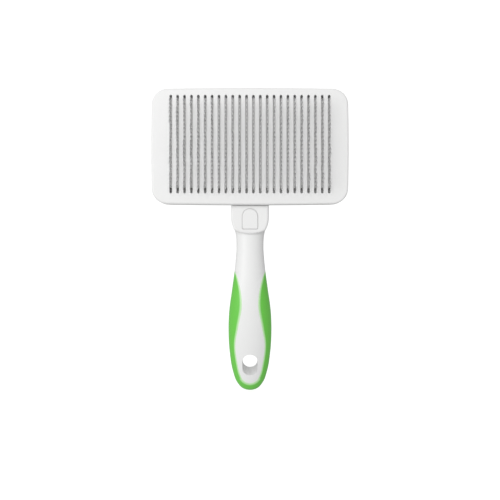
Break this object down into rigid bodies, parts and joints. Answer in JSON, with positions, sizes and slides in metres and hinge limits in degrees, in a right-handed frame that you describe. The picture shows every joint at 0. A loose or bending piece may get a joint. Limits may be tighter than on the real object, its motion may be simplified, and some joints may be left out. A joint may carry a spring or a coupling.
{
  "type": "self-cleaning slicker brush",
  "caption": "Hand-held pet grooming brush: a rectangular head of bent wires with a push-button slotted face plate that ejects fur, a screwed collar and a two-colour handle with a hanging slot.",
  "frame": {"origin": "centre of the push button's flat outer face, on the brush's plane of symmetry", "axes": "+Z along the brush from the handle's tail to the top of the head, +Y out of the back of the head (the wires point along -Y), +X to the right as seen from the wire side"},
  "size_m": [0.1286, 0.0506, 0.202],
  "materials": {
    "shell_plastic": "satin white moulded ABS",
    "face_plastic": "satin white moulded ABS",
    "cap_plastic": "satin white moulded ABS",
    "core_plastic": "glossy white moulded polypropylene",
    "yoke_plastic": "plain moulded acetal",
    "button_plastic": "satin green moulded ABS",
    "grip_rubber": "soft-touch green thermoplastic elastomer, fine matt texture",
    "pad_rubber": "matt off-white silicone rubber",
    "backing": "woven cotton",
    "wire_steel": "drawn stainless wire",
    "spring_steel": "drawn spring wire",
    "screw_steel": "zinc-plated steel"
  },
  "bodies": {
    "housing": {"back_shell": "shell_plastic", "pin_tray": "shell_plastic", "pad_backing": "backing", "cushion_pad": "pad_rubber", "pin_row_01": "wire_steel", "pin_row_02": "wire_steel", "pin_row_03": "wire_steel", "pin_row_04": "wire_steel", "pin_row_05": "wire_steel", "pin_row_06": "wire_steel", "pin_row_07": "wire_steel", "pin_row_08": "wire_steel", "pin_row_09": "wire_steel", "pin_row_10": "wire_steel", "pin_row_11": "wire_steel", "pin_row_12": "wire_steel", "pin_row_13": "wire_steel", "pin_row_14": "wire_steel", "pin_row_15": "wire_steel", "pin_row_16": "wire_steel", "pin_row_17": "wire_steel", "pin_row_18": "wire_steel", "pin_row_19": "wire_steel", "pin_row_20": "wire_steel", "pin_row_21": "wire_steel", "pin_row_22": "wire_steel", "pin_row_23": "wire_steel", "pin_row_24": "wire_steel", "handle_core": "core_plastic", "grip_overmould": "grip_rubber", "collar_cap": "cap_plastic", "collar_screws": "screw_steel", "case_screws": "screw_steel", "return_spring_1": "spring_steel", "return_spring_2": "spring_steel", "return_spring_3": "spring_steel", "return_spring_4": "spring_steel"},
    "ejector": {"face_plate": "face_plastic", "pusher_yoke": "yoke_plastic", "push_button": "button_plastic", "post_screws": "screw_steel", "button_screws": "screw_steel"}
  },
  "joints": [
    {"name": "ejector_slide", "type": "slide", "parent": "housing", "child": "ejector", "axis": [0, -1, 0], "range_m": [0, 0.012], "stiffness_N_per_m": 400, "springref_m": -0.008, "deforming": ["return_spring_1", "return_spring_2", "return_spring_3", "return_spring_4"]}
  ]
}
